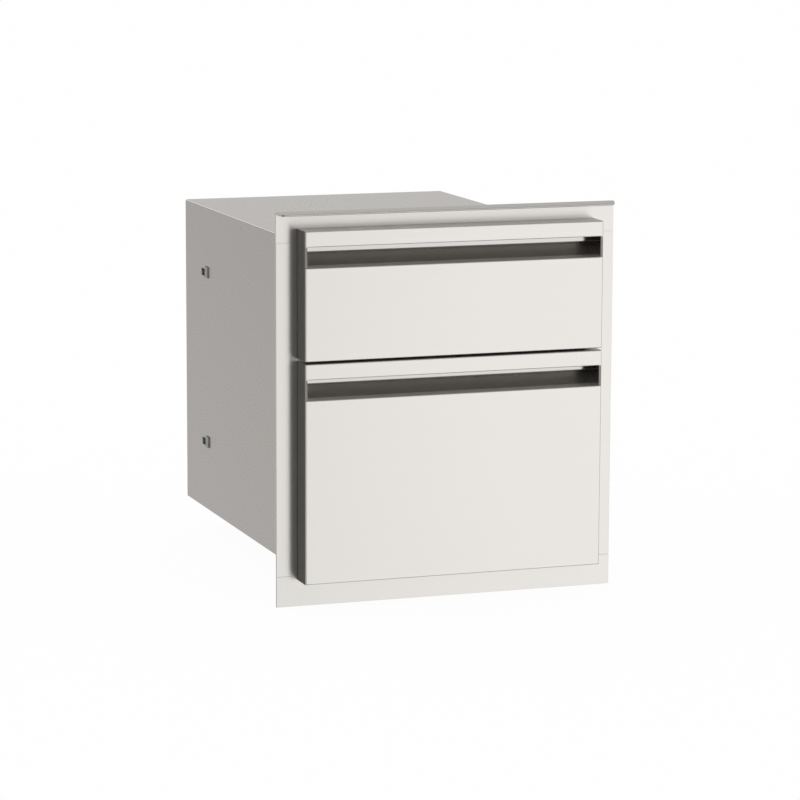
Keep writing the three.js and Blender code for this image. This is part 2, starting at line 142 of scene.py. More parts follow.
def eased(piece, radius, segments=2, angle=35):
    """Eases a piece's cut edges and shades its bends smoothly."""
    for face in piece.data.polygons:
        face.use_smooth = True
    edge = piece.modifiers.new("eased edges", "BEVEL")
    edge.limit_method = "ANGLE"
    edge.angle_limit = math.radians(angle)
    edge.width = radius * MM
    edge.segments = segments
    edge.miter_outer = "MITER_ARC"
    normals = piece.modifiers.new("flat faces", "WEIGHTED_NORMAL")
    normals.keep_sharp = True
    normals.weight = 100
    return piece


def fitted(piece, finish, slot, body, *nodes):
    """Gives a piece its finish and its body, and says which solids it stands for."""
    piece.data.materials.clear()
    piece.data.materials.append(finish)
    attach(piece, body)
    if nodes:
        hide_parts(*nodes)


def metal(name, colour, roughness, anisotropy, spread, grain, streak, wear):
    """Bare metal with a directional grain. Spread is the direction in which the grain blurs
    reflections, and grain how often the pattern changes in a metre along X, Y and Z. Streak and wear
    are the shares by which the fine grain and its broad clouds change the tone."""
    material = bpy.data.materials.new(name)
    material.use_nodes = True
    nodes, links = material.node_tree.nodes, material.node_tree.links
    shader = nodes["Principled BSDF"]
    shader.inputs["Metallic"].default_value = 1.0
    shader.inputs["Anisotropic"].default_value = anisotropy
    place = nodes.new("ShaderNodeTexCoord")

    def pattern(scale, detail, low, high):
        """A noise that stays in place on the piece, spread between two levels."""
        turn = nodes.new("ShaderNodeMapping")
        turn.inputs["Scale"].default_value = scale
        noise = nodes.new("ShaderNodeTexNoise")
        noise.inputs["Scale"].default_value = 1.0
        noise.inputs["Detail"].default_value = detail
        noise.inputs["Roughness"].default_value = 0.6
        span = nodes.new("ShaderNodeMapRange")
        span.inputs["From Min"].default_value = 0.3
        span.inputs["From Max"].default_value = 0.7
        span.inputs["To Min"].default_value = low
        span.inputs["To Max"].default_value = high
        links.new(place.outputs["Object"], turn.inputs["Vector"])
        links.new(turn.outputs["Vector"], noise.inputs["Vector"])
        links.new(noise.outputs["Fac"], span.inputs["Value"])
        return span.outputs["Result"], noise.outputs["Fac"]

    clouds = [7.0 + g * 0.004 for g in grain]
    rubbing = [g * 0.37 for g in grain]
    fine, raw = pattern(grain, 3.0, 1 - streak, 1 + streak)
    broad = pattern(clouds, 2.0, 1 - wear, 1 + wear)[0]
    shade = nodes.new("ShaderNodeMath")
    shade.operation = "MULTIPLY"
    links.new(fine, shade.inputs[0])
    links.new(broad, shade.inputs[1])
    tone = nodes.new("ShaderNodeVectorMath")
    tone.operation = "SCALE"
    tone.inputs[0].default_value = colour
    links.new(shade.outputs["Value"], tone.inputs["Scale"])
    links.new(tone.outputs["Vector"], shader.inputs["Base Color"])

    polish = pattern(rubbing, 2.0, roughness * 0.97, roughness * 1.03)[0]
    links.new(polish, shader.inputs["Roughness"])
    scratch = nodes.new("ShaderNodeBump")
    scratch.inputs["Strength"].default_value = 0.03
    scratch.inputs["Distance"].default_value = 0.000004
    links.new(raw, scratch.inputs["Height"])
    links.new(scratch.outputs["Normal"], shader.inputs["Normal"])
    if anisotropy:
        across = nodes.new("ShaderNodeCombineXYZ")
        for axis, share in zip("XYZ", spread):
            across.inputs[axis].default_value = share
        links.new(across.outputs["Vector"], shader.inputs["Tangent"])
    return material


face_steel = metal("face steel brushed along X", (0.745, 0.725, 0.695), 0.284, 0.68, (0, 0.05, 1),
                   (28, 40, 5200), 0.004, 0.002)

lip_tip = lip_sheet / 2
lip_top = crown - lip_drop
lip_slope = math.degrees(math.atan(lip_drop / (-plate - lip_nose - lip_tip)))
lip_profile = (
    [(0, crown - rail_height), (0, crown - rail_corner)]
    + arc((-rail_corner, crown - rail_corner), rail_corner, 0, 90, 4)
    + [(-plate, crown)]
    + arc((lip_nose + lip_tip, lip_top - lip_tip), lip_tip, 90 + lip_slope, 270 - lip_slope, 12)
    + arc((-plate - lip_fillet, crown - lip_sheet - lip_root), lip_fillet, 90, 0, 5)
    + [(-plate, crown - rail_height)]
)
top_rail = drawn("top_frame_rail", lip_profile, "X", -face_half, face_half)
corner_cuts = []
for side in (-1, 1):
    round_off = arc((side * (face_half - lip_corner), lip_nose + lip_corner), lip_corner,
                    -90 if side > 0 else 270, 0 if side > 0 else 180, 20)
    waste = [(side * face_half + side, lip_nose + lip_corner), (side * face_half + side, lip_nose - 1),
             (side * (face_half - lip_corner), lip_nose - 1)]
    corner_cuts.append(drawn("corner", round_off + waste, "Z", crown - 8, crown + 1))
worked(top_rail, corner_cuts, "DIFFERENCE")
turned_in = block(-opening_half, opening_half, -plate, return_back,
                  crown - rail_height - return_sheet, crown - rail_height)
worked(top_rail, [turned_in], "UNION")
fitted(eased(top_rail, plate_ease), face_steel, "face_steel", "cabinet", "top_rail")

bottom_rail = block(-face_half, face_half, -plate, 0, sill, sill + rail_height)
bottom_rail.name = "bottom_frame_rail"
turned_in = block(-opening_half, opening_half, -plate, return_back,
                  sill + rail_height, sill + rail_height + return_sheet)
worked(bottom_rail, [turned_in], "UNION")
fitted(eased(bottom_rail, plate_ease), face_steel, "face_steel", "cabinet", "bottom_rail")

for name, side in hands.items():
    outline = [(side * x, y) for x, y in [
        (opening_half, -plate), (face_half, -plate), (face_half, 0), (opening_half + return_sheet, 0),
        (opening_half + return_sheet, return_back), (opening_half, return_back)]]
    stile = drawn(f"{name}_frame_stile", outline, "Z", sill + rail_height, crown - rail_height)
    fitted(eased(stile, plate_ease), face_steel, "face_steel", "cabinet", f"{name}_stile")


# Housing. One sheet of plain mill-finish stainless is folded over both sides and the top, and a
# floor pan and a back pan are spot-welded into it. Each side has two stepped slots for the slides'
# hooks, a rivet hole near the front of each slide, and a small round dimple high up at the back.
wall = 1.2
bend = 0.7
housing_top = crown - rail_height - return_sheet
housing_floor = sill + rail_height + return_sheet
housing_back = 1000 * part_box("housing_wrap")[1].y
inner_half = opening_half - wall
pan_edge = 15.0
pan_gap = 0.3
hook_start = 384.4
hook_length = 11.5
hook_height = 13.7
hook_drop = 0.8
slot_clearance = 0.3
slot_heights = (9.0, 13.5)
slot_run = 18.0
rivet_setback = 26.0
hole_radius = 2.3
dimple_at = (243.5, 386.4)
dimple_half = 2.2
dimple_deep = 0.4
sheet_ease = 0.12
overshoot = 5.0


def folded(path, thickness, inside, steps=10):
    """The outline of a folded sheet. The path is one surface, and the sheet lies on its left."""

    def left_of(a, b):
        length = math.hypot(b[0] - a[0], b[1] - a[1])
        return (a[1] - b[1]) / length, (b[0] - a[0]) / length

    normal = left_of(path[0], path[1])
    near = [path[0]]
    far = [(path[0][0] + normal[0] * thickness, path[0][1] + normal[1] * thickness)]
    for i in range(1, len(path) - 1):
        before, after = left_of(path[i - 1], path[i]), left_of(path[i], path[i + 1])
        turn = math.atan2(before[0] * after[1] - before[1] * after[0],
                          before[0] * after[0] + before[1] * after[1])
        side = 1 if turn > 0 else -1
        near_radius = inside + thickness if side > 0 else inside
        far_radius = near_radius - side * thickness
        middle = (before[0] + after[0], before[1] + after[1])
        reach = side * near_radius / math.cos(turn / 2) / math.hypot(*middle)
        centre = (path[i][0] + reach * middle[0], path[i][1] + reach * middle[1])
        start = math.degrees(math.atan2(-side * before[1], -side * before[0]))
        near += arc(centre, near_radius, start, start + math.degrees(turn), steps)
        far += arc(centre, far_radius, start, start + math.degrees(turn), steps)
    normal = left_of(path[-2], path[-1])
    near.append(path[-1])
    far.append((path[-1][0] + normal[0] * thickness, path[-1][1] + normal[1] * thickness))
    return near + far[::-1]


housing_steel = metal("housing steel mill finish", (0.64, 0.607, 0.575), 0.27, 0.0, (0, 0, 0),
                      (2200, 500, 2200), 0.004, 0.002)

slide_heights = {}
for drawer in ("bottom", "top"):
    lowest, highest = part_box(f"{drawer}_left_cabinet_member")
    slide_heights[drawer] = 500 * (lowest.z + highest.z)

wrap = drawn("housing_wrap_sheet", folded([
    (opening_half, housing_floor), (opening_half, housing_top),
    (-opening_half, housing_top), (-opening_half, housing_floor)], wall, bend, 14), "Y", 0, housing_back)
cuts = []
for height in slide_heights.values():
    low = height + hook_drop - hook_height / 2
    ahead = hook_start - slot_clearance
    behind = hook_start + hook_length
    stepped = [(ahead, low), (behind + slot_run, low), (behind + slot_run, low + slot_heights[0]),
               (behind, low + slot_heights[0]), (behind, low + slot_heights[1]),
               (ahead, low + slot_heights[1])]
    rivet_hole = arc((rivet_setback, height), hole_radius, 0, 345, 23)
    for side in (-1, 1):
        through = (side * (inner_half - overshoot), side * (opening_half + overshoot))
        cuts.append(drawn("slot", stepped, "X", *through))
        cuts.append(drawn("hole", rivet_hole, "X", *through))
for side in (-1, 1):
    dish = bmesh.new()
    dish_radius = (dimple_half ** 2 + dimple_deep ** 2) / (2 * dimple_deep)
    centre = (side * (opening_half + dish_radius - dimple_deep), dimple_at[0], dimple_at[1])
    pole_outwards = Matrix.Rotation(math.pi / 2, 4, "Y")
    bmesh.ops.create_uvsphere(dish, u_segments=160, v_segments=96, radius=dish_radius * MM,
                              matrix=Matrix.Translation(MM * Vector(centre)) @ pole_outwards)
    cuts.append(placed("dish", dish))
worked(wrap, cuts, "DIFFERENCE")
fitted(eased(wrap, sheet_ease), housing_steel, "housing_steel", "cabinet", "housing_wrap")

floor_pan = drawn("housing_floor_pan", folded([
    (-inner_half, housing_floor + pan_edge), (-inner_half, housing_floor),
    (inner_half, housing_floor), (inner_half, housing_floor + pan_edge)], wall, bend), "Y",
    0, housing_back - wall)
fitted(eased(floor_pan, sheet_ease), housing_steel, "housing_steel", "cabinet", "housing_floor")

back_pan = drawn("housing_back_pan", folded([
    (inner_half, housing_back - pan_edge), (inner_half, housing_back),
    (-inner_half, housing_back), (-inner_half, housing_back - pan_edge)], wall, bend), "Z",
    housing_floor, housing_top - wall)
relief = block(-inner_half - overshoot, inner_half + overshoot,
               housing_back - pan_edge - overshoot, housing_back - wall,
               housing_floor - overshoot, housing_floor + pan_edge + pan_gap)
worked(back_pan, [relief], "DIFFERENCE")
corner_clip = 2 * bend
inside_wrap = (
    [(-inner_half, housing_floor - 1), (inner_half, housing_floor - 1)]
    + arc((inner_half - corner_clip, housing_top - wall - corner_clip), corner_clip, 0, 90)
    + arc((corner_clip - inner_half, housing_top - wall - corner_clip), corner_clip, 90, 180)
)
worked(back_pan, [drawn("inside", inside_wrap, "Y", -1, housing_back + 1)], "INTERSECT")
fitted(eased(back_pan, sheet_ease), housing_steel, "housing_steel", "cabinet", "housing_back")


# Slides. Each drawer runs on a pair of telescopic ball-bearing slides in zinc-plated steel. The
# cabinet member hooks through the housing's slots at the back and is riveted at the front, the
# intermediate member nests in it, and the drawer member is screwed to the side of the box.
slide_sheet = 1.2
slide_bend = 0.8
slide_half = 22.5
slide_front, slide_end = 12.0, 462.0
member_end = 446.0
race = 3.4
web_gap = 1.2
flange_tip = 10.4
slide_depth = 12.7
hook_gap = 0.3
screw_lines = (52.0, 412.0)
cabinet_slots, cabinet_slot_size = (140, 230, 320), (2.6, 4.0)
middle_slots, middle_slot_size = (60, 400), (3.2, 6.0)
drawer_slots, drawer_slot_size = (160, 270, 350), (2.4, 5.0)

zinc = metal("zinc plated slide steel", (0.29, 0.305, 0.308), 0.38, 0.0, (0, 0, 0),
             (420, 420, 420), 0.03, 0.03)
zinc.node_tree.nodes["Principled BSDF"].inputs["Metallic"].default_value = 0.35

middle_half = slide_half - slide_sheet - race
drawer_half = middle_half - slide_sheet - race
middle_web = slide_sheet + web_gap
drawer_tip = middle_web + slide_sheet + web_gap
web_out = inner_half - slide_depth
cabinet_web_cut = (inner_half - 6, inner_half + 1)
middle_web_cut = (inner_half - 6, inner_half - 1)
drawer_web_cut = (web_out - 1, web_out + 3)


def member(name, outline, side, height, start, end):
    """A slide member, its outline measured in from the housing wall and up from its middle."""
    return drawn(name, [(side * (inner_half - u), height + w) for u, w in outline], "Y", start, end)


def holes(places, height, radius, half_length, side, near, far):
    """Round or oblong punched holes through a member's web."""
    tools = []
    for y in places:
        rim = (arc((y + half_length, height), radius, -90, 90, 8)
               + arc((y - half_length, height), radius, 90, 270, 8))
        tools.append(drawn("hole", rim, "X", side * near, side * far))
    return tools


cabinet_outline = folded([(flange_tip, slide_half), (0, slide_half), (0, -slide_half),
                          (flange_tip, -slide_half)], slide_sheet, slide_bend, 6)
middle_outline = folded([(flange_tip, middle_half), (middle_web, middle_half), (middle_web, -middle_half),
                         (flange_tip, -middle_half)], slide_sheet, slide_bend, 6)
drawer_outline = folded([(drawer_tip, -drawer_half), (slide_depth, -drawer_half), (slide_depth, drawer_half),
                         (drawer_tip, drawer_half)], slide_sheet, slide_bend, 6)

for drawer, height in slide_heights.items():
    for name, side in hands.items():
        cabinet = member(f"{drawer}_{name}_cabinet_slide", cabinet_outline, side, height,
                         slide_front, slide_end)
        slot_low = height + hook_drop - hook_height / 2
        hook_end = hook_start + hook_length - slot_clearance
        hook_top = slot_low + hook_height - hook_drop
        hook_root, hook_back = inner_half - slide_sheet / 2, opening_half + hook_gap
        hook_face = hook_back + slide_sheet
        hook_profile = [(side * x, z) for x, z in [
            (hook_root, slot_low + slot_clearance), (hook_back, slot_low + slot_clearance),
            (hook_back, slot_low - hook_drop), (hook_face, slot_low - hook_drop),
            (hook_face, hook_top), (hook_root, hook_top)]]
        hook = drawn("hook", hook_profile, "Y", hook_start, hook_end)
        worked(cabinet, [hook], "UNION")
        punched = holes(cabinet_slots, height, *cabinet_slot_size, side, *cabinet_web_cut)
        punched += holes((rivet_setback,), height, hole_radius, 0.0, side, *cabinet_web_cut)
        lanced = hook_start + hook_length
        punched.append(block(*sorted(side * x for x in cabinet_web_cut), lanced, lanced + slot_run,
                             slot_low, slot_low + slot_heights[0]))
        worked(cabinet, punched, "DIFFERENCE")
        fitted(eased(cabinet, sheet_ease), zinc, "slide_zinc", "cabinet",
               f"{drawer}_{name}_cabinet_member")

        middle = member(f"{drawer}_{name}_middle_slide", middle_outline, side, height,
                        slide_front, slide_end)
        punched = holes(middle_slots, height, *middle_slot_size, side, *middle_web_cut)
        worked(middle, punched, "DIFFERENCE")
        fitted(eased(middle, sheet_ease), zinc, "slide_zinc", f"{drawer}_intermediates",
               f"{drawer}_{name}_intermediate_member")

        runner = member(f"{drawer}_{name}_drawer_slide", drawer_outline, side, height,
                        slide_front, member_end)
        punched = holes(screw_lines, height, hole_radius, 0.0, side, *drawer_web_cut)
        punched += holes(drawer_slots, height, *drawer_slot_size, side, *drawer_web_cut)
        worked(runner, punched, "DIFFERENCE")
        fitted(eased(runner, sheet_ease), zinc, "slide_zinc", f"{drawer}_drawer",
               f"{drawer}_{name}_drawer_member")


# Ball cages. A thin pressed strip between each pair of members holds two rows of steel balls at an
# even pitch, and travels at the mean speed of the two members that it runs between.
cage_sheet = 0.5
cage_start, cage_length = 146.0, 185.0
ball_radius = 1.4
balls_in_row = 4
ball_margin = 8.0
cage_ease = 0.06

bright_steel = metal("polished steel", (0.72, 0.72, 0.72), 0.14, 0.0, (0, 0, 0),
                     (700, 700, 700), 0.01, 0.01)


def node_tree(name, inputs):
    """A Geometry Nodes tree with these named inputs after its geometry."""
    tree = bpy.data.node_groups.new(name, "GeometryNodeTree")
    tree.interface.new_socket("Geometry", in_out="INPUT", socket_type="NodeSocketGeometry")
    tree.interface.new_socket("Geometry", in_out="OUTPUT", socket_type="NodeSocketGeometry")
    for label, kind in inputs:
        tree.interface.new_socket(label, in_out="INPUT", socket_type=kind)
    start, end = tree.nodes.new("NodeGroupInput"), tree.nodes.new("NodeGroupOutput")
    return tree, start, end


def grown(name, points, tree, values, turns=None):
    """Runs a tree on a set of points and keeps the result as a plain mesh."""
    mesh = bpy.data.meshes.new(name)
    mesh.from_pydata([MM * Vector(p) for p in points], [], [])
    if turns:
        attribute = mesh.attributes.new("turn", "FLOAT_VECTOR", "POINT")
        attribute.data.foreach_set("vector", [a for turn in turns for a in turn])
    piece = bpy.data.objects.new(name, mesh)
    bpy.context.scene.collection.objects.link(piece)
    step = piece.modifiers.new("grown", "NODES")
    step.node_group = tree
    sockets = {item.name: item.identifier for item in tree.interface.items_tree if item.in_out == "INPUT"}
    for label, value in values.items():
        step[sockets[label]] = value
    graph = bpy.context.evaluated_depsgraph_get()
    result = bpy.data.meshes.new_from_object(piece.evaluated_get(graph))
    piece.modifiers.clear()
    piece.data = result
    result.name = name
    bpy.data.meshes.remove(mesh)
    return piece


ball_tree, given, result = node_tree("rows of balls", [
    ("Balls", "NodeSocketInt"), ("Pitch", "NodeSocketFloat"), ("Radius", "NodeSocketFloat"),
    ("Finish", "NodeSocketMaterial")])
links = ball_tree.links
pitch = ball_tree.nodes.new("ShaderNodeCombineXYZ")
links.new(given.outputs["Pitch"], pitch.inputs["Y"])
row = ball_tree.nodes.new("GeometryNodeMeshLine")
links.new(given.outputs["Balls"], row.inputs["Count"])
links.new(pitch.outputs["Vector"], row.inputs["Offset"])
rows = ball_tree.nodes.new("GeometryNodeInstanceOnPoints")
links.new(given.outputs["Geometry"], rows.inputs["Points"])
links.new(row.outputs["Mesh"], rows.inputs["Instance"])
spots = ball_tree.nodes.new("GeometryNodeRealizeInstances")
links.new(rows.outputs["Instances"], spots.inputs["Geometry"])
ball = ball_tree.nodes.new("GeometryNodeMeshIcoSphere")
ball.inputs["Subdivisions"].default_value = 3
links.new(given.outputs["Radius"], ball.inputs["Radius"])
balls = ball_tree.nodes.new("GeometryNodeInstanceOnPoints")
links.new(spots.outputs["Geometry"], balls.inputs["Points"])
links.new(ball.outputs["Mesh"], balls.inputs["Instance"])
real = ball_tree.nodes.new("GeometryNodeRealizeInstances")
links.new(balls.outputs["Instances"], real.inputs["Geometry"])
smooth = ball_tree.nodes.new("GeometryNodeSetShadeSmooth")
links.new(real.outputs["Geometry"], smooth.inputs["Geometry"])
coat = ball_tree.nodes.new("GeometryNodeSetMaterial")
links.new(smooth.outputs["Geometry"], coat.inputs["Geometry"])
links.new(given.outputs["Finish"], coat.inputs["Material"])
links.new(coat.outputs["Geometry"], result.inputs["Geometry"])

ball_depth = (middle_web + slide_sheet + flange_tip) / 2
for drawer, height in slide_heights.items():
    for stage, web, half in (
            ("outer", slide_sheet + (web_gap - cage_sheet) / 2, middle_half + race / 2),
            ("inner", middle_web + slide_sheet + (web_gap - cage_sheet) / 2, drawer_half + race / 2)):
        starts = []
        for name, side in hands.items():
            edge = half + cage_sheet / 2
            strip = member(f"{drawer}_{name}_{stage}_cage_strip", folded([
                (flange_tip, edge), (web, edge), (web, -edge), (flange_tip, -edge)],
                cage_sheet, cage_sheet, 5), side, height, cage_start, cage_start + cage_length)
            fitted(eased(strip, cage_ease, 1), bright_steel, "bright_steel", f"{drawer}_{stage}_cages",
                   f"{drawer}_{name}_{stage}_ball_cage")
            for row_side in (-1, 1):
                starts.append((side * (inner_half - ball_depth), cage_start + ball_margin,
                               height + row_side * half))
        loose = grown(f"{drawer}_{stage}_cage_balls", starts, ball_tree, {
            "Balls": balls_in_row, "Pitch": MM * (cage_length - 2 * ball_margin) / (balls_in_row - 1),
            "Radius": MM * ball_radius, "Finish": bright_steel})
        fitted(loose, bright_steel, "bright_steel", f"{drawer}_{stage}_cages")


# Drawer boxes. Each is a stainless tray: a flat floor, two side walls whose tops are hemmed over
# inwards so that no cut edge shows, and a back wall, spot-welded together behind the inner front.
box_sheet = 1.2
box_half = inner_half - slide_depth
hem_height = 9.0
inner_back = 1000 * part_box("top_inner_front")[1].y

box_steel = metal("drawer box steel", (0.70, 0.682, 0.657), 0.42, 0.0, (0, 0, 0),
                  (900, 25, 900), 0.01, 0.01)
box_steel.node_tree.nodes["Principled BSDF"].inputs["Metallic"].default_value = 0.85

for drawer, height in slide_heights.items():
    lowest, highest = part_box(f"{drawer}_box_left_wall")
    box_low, box_top, box_back = 1000 * lowest.z, 1000 * highest.z, 1000 * highest.y
    for name, side in hands.items():
        inner = box_half - box_sheet
        hem = inner - box_sheet
        crest = arc((inner, box_top - box_sheet), box_sheet, 0, 180, 12)
        outline = [(box_half, box_low)] + crest + [(hem, box_top - hem_height),
                   (inner, box_top - hem_height), (inner, box_low)]
        side_wall = drawn(f"{drawer}_{name}_box_side", [(side * x, z) for x, z in outline], "Y",
                          inner_back, box_back)
        tools = holes(screw_lines, height, hole_radius, 0.0, side, inner - 2, box_half + 2)
        tools.append(block(*sorted((side * (hem - overshoot), side * inner)), box_back - box_sheet,
                           box_back + overshoot, box_low - 1, box_top + overshoot))
        worked(side_wall, tools, "DIFFERENCE")
        fitted(eased(side_wall, sheet_ease), box_steel, "box_steel", f"{drawer}_drawer",
               f"{drawer}_box_{name}_wall")
    for part in ("box_floor", "box_back_wall", "inner_front"):
        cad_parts[f"{drawer}_{part}"].material_slots[0].material = box_steel


# Drawer fronts. A sheet of brushed stainless is folded back on all four sides into a pan, with a
# window across its whole width below the top band. The window's upper edge is turned in as a hem, its
# lower edge rolls back over the pull, and at its ends the sheets' cut edges show.
front_sheet = 1.0
front_bend = 1.2
band = 17.8
window_height = 23.8
post = 2.8
hem_depth = 7.0
roll = 6.0
wall_drop = 8.1
pull_gap = 0.3
pull_bend = 1.2
pull_flange = 10.0
plate_lap = 0.6
post_edge = 0.05
front_ease = 0.1
near = 0.01

# The pull is the same brushed stainless as the face, polished smoother. Its darker colour is painted shade
# for the recess behind the band.
pull_steel_with_painted_shade = metal("pull steel brushed along X", (0.51, 0.497, 0.478), 0.17, 0.3, (0, 0.05, 1),
                   (28, 40, 5200), 0.004, 0.002)
sheared_steel = metal("sheared edge of the sheet", (0.36, 0.345, 0.33), 0.5, 0.0, (0, 0, 0),
                      (900, 900, 900), 0.05, 0.03)


def along(edge, test):
    """Whether an edge of the pan passes a test at both its ends."""
    return all(test(v.co / MM) for v in edge.verts)


for drawer in slide_heights:
    low, high = [1000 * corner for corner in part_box(f"{drawer}_front_skin")]
    half, face, rim = high.x, low.y, high.y
    window_half = half - post
    band_low = high.z - band
    panel_top = band_low - window_height
    pull_y = rim - front_sheet - pull_gap - front_sheet
    slope = math.atan((window_height - wall_drop) / (pull_y - face))

    pan = bmesh.new()
    xs = (-half, -window_half - post_edge, -window_half, window_half, window_half + post_edge, half)
    zs = (low.z, panel_top, band_low, high.z)
    last_x, last_z = len(xs) - 1, len(zs) - 1
    window_cells = ((1, 1), (2, 1), (3, 1))
    front = {(i, j): pan.verts.new(MM * Vector((x, face, z)))
             for i, x in enumerate(xs) for j, z in enumerate(zs)}
    for i in range(last_x):
        for j in range(last_z):
            if (i, j) not in window_cells:
                pan.faces.new((front[i, j], front[i + 1, j], front[i + 1, j + 1], front[i, j + 1]))
    border = ([(i, 0) for i in range(last_x)] + [(last_x, j) for j in range(last_z)]
              + [(i, last_z) for i in range(last_x, 0, -1)] + [(0, j) for j in range(last_z, 0, -1)])
    back = {(i, j): pan.verts.new(MM * Vector((xs[i], rim, zs[j]))) for i, j in border}
    for a, b in zip(border, border[1:] + border[:1]):
        pan.faces.new((front[b], front[a], back[a], back[b]))
    hem_back = [pan.verts.new(MM * Vector((xs[i], face + hem_depth, band_low))) for i in (2, 3)]
    pan.faces.new((front[2, 2], front[3, 2], hem_back[1], hem_back[0]))
    roll_end, roll_height = face + roll * math.cos(slope), panel_top + roll * math.sin(slope)
    roll_back = [pan.verts.new(MM * Vector((xs[i], roll_end, roll_height))) for i in (2, 3)]
    pan.faces.new((front[3, 1], front[2, 1], roll_back[0], roll_back[1]))
    bmesh.ops.recalc_face_normals(pan, faces=pan.faces)
    pan.normal_update()

    def on_face(p):
        return abs(p.y - face) < near

    def on_window_edge(p, height):
        return on_face(p) and abs(p.z - height) < near and abs(p.x) < window_half + near

    outer = [e for e in pan.edges if along(e, on_face) and (
        along(e, lambda p: abs(abs(p.x) - half) < near) or along(e, lambda p: abs(p.z - low.z) < near)
        or along(e, lambda p: abs(p.z - high.z) < near))]
    hem_line = [e for e in pan.edges if along(e, lambda p: on_window_edge(p, band_low))]
    roll_line = [e for e in pan.edges if along(e, lambda p: on_window_edge(p, panel_top))]
    roll_reach = front_bend * math.tan((math.pi / 2 - slope) / 2)
    for bent, reach in ((outer, front_bend), (hem_line, front_bend), (roll_line, roll_reach)):
        bmesh.ops.bevel(pan, geom=[e for e in bent if e.is_valid], offset=reach * MM, segments=8,
                        profile=0.5, affect="EDGES")
    beside = []
    for cell in pan.faces:
        middle = cell.calc_center_median() / MM
        if (abs(middle.x) > window_half and middle.y < face + front_bend - near
                and panel_top < middle.z < band_low):
            beside.append(cell)
    bmesh.ops.delete(pan, geom=beside, context="FACES")
    skin = placed(f"{drawer}_front_panel", pan)
    thick = skin.modifiers.new("sheet", "SOLIDIFY")
    thick.thickness = front_sheet * MM
    thick.offset = -1
    thick.use_even_offset = True
    thick.material_offset_rim = 1
    fitted(eased(skin, front_ease, 2, 50), face_steel, "face_steel", f"{drawer}_drawer",
           f"{drawer}_front_skin")
    skin.data.materials.append(sheared_steel)

    # Finger pull: one sheet hung from the pan's ceiling, down behind the band and forward to the
    # window's lower edge, with an end plate each side.
    inner = half - front_sheet
    corner = band_low - wall_drop
    under_roll = roll_height - (front_sheet + pull_gap) / math.cos(slope)
    foot = face + front_bend
    foot_height = under_roll - (roll_end - foot) * (corner - under_roll) / (pull_y - roll_end)
    ceiling = high.z - front_sheet
    sheet_path = [(pull_y - pull_flange, ceiling - front_sheet), (pull_y, ceiling - front_sheet),
                  (pull_y, corner), (foot, foot_height)]
    pull = drawn(f"{drawer}_pull_sheet", folded(sheet_path, front_sheet, pull_bend), "X",
                 -window_half, window_half)
    plate_outline = [(foot, ceiling), (pull_y + plate_lap, ceiling), (pull_y + plate_lap, corner - plate_lap),
                     (foot + plate_lap, foot_height - plate_lap), (foot, foot_height)]
    plates = [drawn("end", plate_outline, "X", *sorted((side * (window_half - near), side * inner)))
              for side in (-1, 1)]
    worked(pull, plates, "UNION")
    # The pull takes the darker copy of the face steel, which paints shade into its recess.
    fitted(eased(pull, front_ease), pull_steel_with_painted_shade, "face_steel", f"{drawer}_drawer", f"{drawer}_finger_pull")
    pull.data.materials.append(sheared_steel)
    for cell in pull.data.polygons:
        if cell.normal.y < -0.9 and abs(cell.center.y / MM - foot) < 5 * near:
            cell.material_index = 1


# Screws, rivets and pads. Two pan-head screws a side hold each drawer member to its box, a flat
# rivet holds each cabinet member's front end, and a rubber pad behind each upper corner of a front
# quietens it as it closes.
fastener_tree, given, result = node_tree("fasteners in place", [
    ("Fastener", "NodeSocketObject"), ("Count", "NodeSocketInt"), ("Spacing", "NodeSocketFloat"),
    ("Finish", "NodeSocketMaterial")])
links = fastener_tree.links
apart = fastener_tree.nodes.new("ShaderNodeCombineXYZ")
links.new(given.outputs["Spacing"], apart.inputs["Y"])
line = fastener_tree.nodes.new("GeometryNodeMeshLine")
links.new(given.outputs["Count"], line.inputs["Count"])
links.new(apart.outputs["Vector"], line.inputs["Offset"])
lines = fastener_tree.nodes.new("GeometryNodeInstanceOnPoints")
links.new(given.outputs["Geometry"], lines.inputs["Points"])
links.new(line.outputs["Mesh"], lines.inputs["Instance"])
spots = fastener_tree.nodes.new("GeometryNodeRealizeInstances")
links.new(lines.outputs["Instances"], spots.inputs["Geometry"])
turn = fastener_tree.nodes.new("GeometryNodeInputNamedAttribute")
turn.data_type = "FLOAT_VECTOR"
turn.inputs["Name"].default_value = "turn"
rotation = fastener_tree.nodes.new("FunctionNodeEulerToRotation")
links.new(turn.outputs["Attribute"], rotation.inputs["Euler"])
source = fastener_tree.nodes.new("GeometryNodeObjectInfo")
links.new(given.outputs["Fastener"], source.inputs["Object"])
set_in = fastener_tree.nodes.new("GeometryNodeInstanceOnPoints")
links.new(spots.outputs["Geometry"], set_in.inputs["Points"])
links.new(source.outputs["Geometry"], set_in.inputs["Instance"])
links.new(rotation.outputs["Rotation"], set_in.inputs["Rotation"])
real = fastener_tree.nodes.new("GeometryNodeRealizeInstances")
links.new(set_in.outputs["Instances"], real.inputs["Geometry"])
coat = fastener_tree.nodes.new("GeometryNodeSetMaterial")
links.new(real.outputs["Geometry"], coat.inputs["Geometry"])
links.new(given.outputs["Finish"], coat.inputs["Material"])
links.new(coat.outputs["Geometry"], result.inputs["Geometry"])


def turned(name, profile, sides=28):
    """A turned part about the X axis, from pairs of place along it and radius."""
    shape = bmesh.new()
    rings = []
    for x, radius in profile:
        rings.append([shape.verts.new(MM * Vector((x, radius * math.cos(a), radius * math.sin(a))))
                      for a in [2 * math.pi * i / sides for i in range(sides)]])
    shape.faces.new(rings[0])
    shape.faces.new(rings[-1][::-1])
    for one, two in zip(rings, rings[1:]):
        for i in range(sides):
            shape.faces.new((one[i - 1], one[i], two[i], two[i - 1]))
    bmesh.ops.recalc_face_normals(shape, faces=shape.faces)
    return placed(name, shape)


